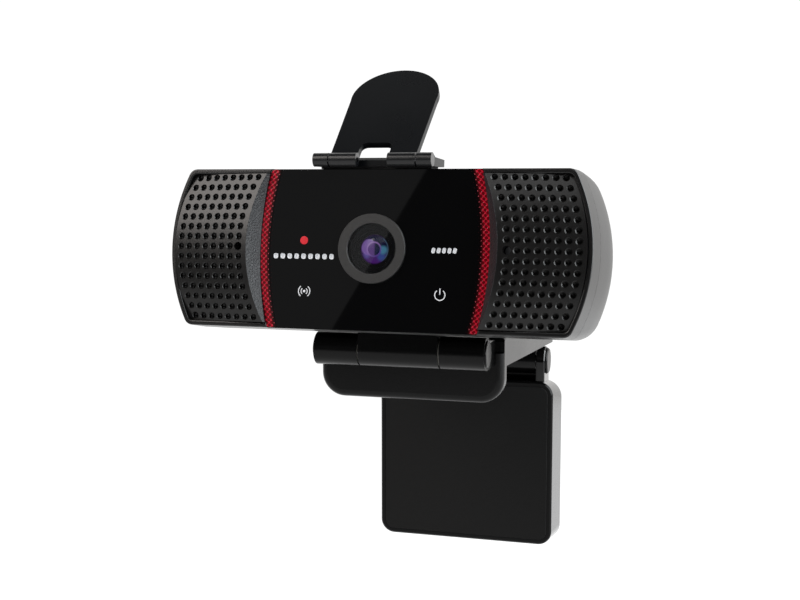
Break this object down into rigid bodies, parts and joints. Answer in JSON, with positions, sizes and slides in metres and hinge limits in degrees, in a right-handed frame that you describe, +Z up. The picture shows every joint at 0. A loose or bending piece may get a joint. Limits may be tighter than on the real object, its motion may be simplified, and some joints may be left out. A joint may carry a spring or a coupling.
{
  "type": "webcam",
  "caption": "Wide webcam with bulging perforated ends, black glass front and flip-up privacy cover, on a folding monitor clip with hinged leg.",
  "frame": {"origin": "middle of the clip's top pad, where it rests on the monitor's upper edge", "axes": "+Z up, the lens looks toward -Y, +X is the right-hand end seen from the front"},
  "size_m": [0.1092, 0.1315, 0.147],
  "materials": {
    "satin_black": "satin",
    "gloss_black": "gloss",
    "panel_glass": "mirror gloss, tinted black",
    "red_mesh": "patterned gloss",
    "ring_grey": "satin",
    "optic": "coated",
    "filter_glass": "clear",
    "steel": "satin",
    "brass": "machined",
    "rubber_black": "matte",
    "board_green": "solder mask",
    "chip_black": "moulded",
    "connector_white": "moulded",
    "copper": "plated",
    "nylon": "moulded"
  },
  "bodies": {
    "clip": {"clip_arm": "satin_black", "arm_base_plate": "satin_black", "arm_screws": "steel", "arm_pad": "rubber_black", "lip_pad": "rubber_black", "tilt_pin": "steel", "tilt_pin_caps": "satin_black", "tilt_washers": "nylon", "tripod_nut": "brass"},
    "head": {"front_frame": "satin_black", "glass_panel": "panel_glass", "right_accent_strip": "red_mesh", "left_accent_strip": "red_mesh", "right_grille": "satin_black", "left_grille": "satin_black", "right_microphone": "steel", "left_microphone": "steel", "right_mic_boot": "rubber_black", "left_mic_boot": "rubber_black", "lens_ring": "ring_grey", "lens_window": "filter_glass", "lens_barrel": "satin_black", "lens_front_element": "optic", "lens_rear_element": "optic", "lens_holder": "satin_black", "ir_filter": "filter_glass", "image_sensor": "chip_black", "main_board": "board_green", "image_processor": "chip_black", "board_components": "chip_black", "board_connector": "connector_white", "board_screws": "steel", "touch_pads": "copper", "touch_springs": "steel", "rear_shell": "satin_black", "housing_screws": "steel", "cable_gland": "rubber_black", "tilt_knuckle": "satin_black", "knuckle_screws": "steel", "cover_base": "satin_black", "cover_pad": "rubber_black", "cover_pins": "steel"},
    "cover": {"cover_flap": "satin_black"},
    "leg": {"leg_shell": "satin_black", "leg_back_cover": "satin_black", "leg_screws": "steel", "leg_pad": "rubber_black", "leg_pin": "steel", "leg_pin_caps": "satin_black"}
  },
  "joints": [
    {"name": "head_tilt", "type": "hinge", "parent": "clip", "child": "head", "pos_m": [0, -0.03585, 0.00854], "axis": [1, 0, 0], "range_deg": [-12, 35]},
    {"name": "cover_flip", "type": "hinge", "parent": "head", "child": "cover", "pos_m": [0, -0.06046, 0.05788], "axis": [1, 0, 0], "range_deg": [-14, 222]},
    {"name": "leg_fold", "type": "hinge", "parent": "clip", "child": "leg", "pos_m": [0, 0.046, -0.005], "axis": [1, 0, 0], "range_deg": [-68, 60]}
  ]
}
